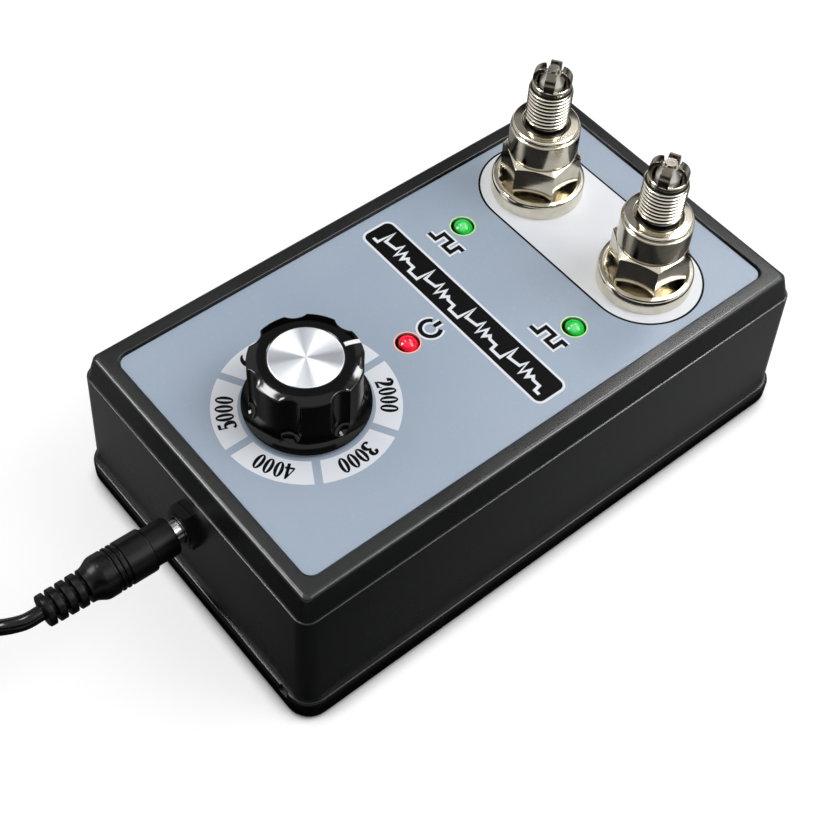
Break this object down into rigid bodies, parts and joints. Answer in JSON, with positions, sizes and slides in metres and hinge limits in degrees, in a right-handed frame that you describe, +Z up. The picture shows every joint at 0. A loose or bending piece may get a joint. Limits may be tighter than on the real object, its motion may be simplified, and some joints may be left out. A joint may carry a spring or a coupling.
{
  "type": "spark plug tester",
  "caption": "Black moulded bench box with a blue-grey label, a speed knob on a dial, signal lamps, nickel sockets that hold upturned spark plugs, and a low-voltage lead.",
  "frame": {"origin": "middle of the underside, on the table", "axes": "+Z up, +Y along the case towards the plug sockets, +X across it to the right of someone who faces the sockets"},
  "size_m": [0.1136, 0.2562, 0.0799],
  "materials": {
    "case_black": "fine satin texture, moulded",
    "base_black": "satin, moulded",
    "label_film": "printed film, fine metallic grain",
    "socket_nickel": "bright nickel plate",
    "strap_brass": "plain",
    "cup_nylon": "natural",
    "spring_steel": "drawn wire",
    "coil_epoxy": "potted",
    "tinned_legs": "tinned",
    "wire_red": "smooth insulation",
    "board_green": "solder resist",
    "screw_steel": "zinc plate",
    "chip_epoxy": "moulded epoxy",
    "can_blue": "sleeved",
    "lamp_red": "clear tinted epoxy, lit",
    "lamp_green": "clear tinted epoxy, lit",
    "pot_steel": "plated",
    "track_paxolin": "laminate",
    "jack_black": "moulded",
    "knob_black": "polished phenolic",
    "cap_aluminium": "circular spun face",
    "grub_steel": "blackened",
    "shell_nickel": "bright nickel plate",
    "insulator_ceramic": "glazed",
    "electrode_nickel": "nickel alloy",
    "barrel_nickel": "bright nickel plate",
    "lead_pvc": "soft moulded",
    "cord_pvc": "smooth glossy jacket",
    "adapter_black": "satin, moulded",
    "supply_potting": "potted block"
  },
  "bodies": {
    "tester": {"upper_case": "case_black", "base_cover": "base_black", "base_screws": "screw_steel", "front_label": "label_film", "socket_ring_left": "socket_nickel", "socket_ring_right": "socket_nickel", "socket_nuts": "socket_nickel", "ground_strap": "strap_brass", "contact_cups": "cup_nylon", "contact_springs": "spring_steel", "contact_buttons": "strap_brass", "ignition_coil_left": "coil_epoxy", "ignition_coil_right": "coil_epoxy", "coil_pins": "tinned_legs", "hv_leads": "wire_red", "circuit_board": "board_green", "board_screws": "screw_steel", "timer_chip": "chip_epoxy", "board_components": "can_blue", "drive_transistors": "chip_epoxy", "power_lamp": "lamp_red", "signal_lamp_left": "lamp_green", "signal_lamp_right": "lamp_green", "lamp_legs": "tinned_legs", "pot_case": "pot_steel", "pot_bushing": "strap_brass", "pot_nut": "socket_nickel", "pot_track": "track_paxolin", "jack_body": "jack_black", "jack_contacts": "tinned_legs", "jack_nut": "jack_black", "jack_wires": "wire_red"},
    "knob": {"knob": "knob_black", "knob_cap": "cap_aluminium", "knob_grub_screw": "grub_steel", "pot_shaft": "pot_steel", "pot_wiper": "track_paxolin"},
    "plug_left": {"plug_shell_left": "shell_nickel", "plug_insulator_left": "insulator_ceramic", "plug_terminal_left": "shell_nickel", "plug_centre_left": "electrode_nickel", "plug_claws_left": "electrode_nickel", "plug_gasket_left": "shell_nickel"},
    "plug_right": {"plug_shell_right": "shell_nickel", "plug_insulator_right": "insulator_ceramic", "plug_terminal_right": "shell_nickel", "plug_centre_right": "electrode_nickel", "plug_claws_right": "electrode_nickel", "plug_gasket_right": "shell_nickel"},
    "power_lead": {"lead_barrel": "barrel_nickel", "lead_plug": "lead_pvc", "power_cord": "cord_pvc", "cord_coil": "cord_pvc", "cord_tail": "cord_pvc", "cord_tie": "lead_pvc", "adapter_case": "adapter_black", "adapter_lid": "adapter_black", "adapter_pins": "barrel_nickel", "adapter_supply": "supply_potting", "adapter_relief": "lead_pvc"}
  },
  "joints": [
    {"name": "knob_turn", "type": "hinge", "parent": "tester", "child": "knob", "pos_m": [0, -0.0396, 0], "axis": [0, 0, 1], "range_deg": [-256, 44]},
    {"name": "plug_left_lift", "type": "slide", "parent": "tester", "child": "plug_left", "axis": [0, 0, 1], "range_m": [0, 0.04]},
    {"name": "plug_right_lift", "type": "slide", "parent": "tester", "child": "plug_right", "axis": [0, 0, 1], "range_m": [0, 0.04]},
    {"name": "lead_pull", "type": "slide", "parent": "tester", "child": "power_lead", "axis": [0, -0.9991, 0.042], "range_m": [0, 0.015]}
  ]
}
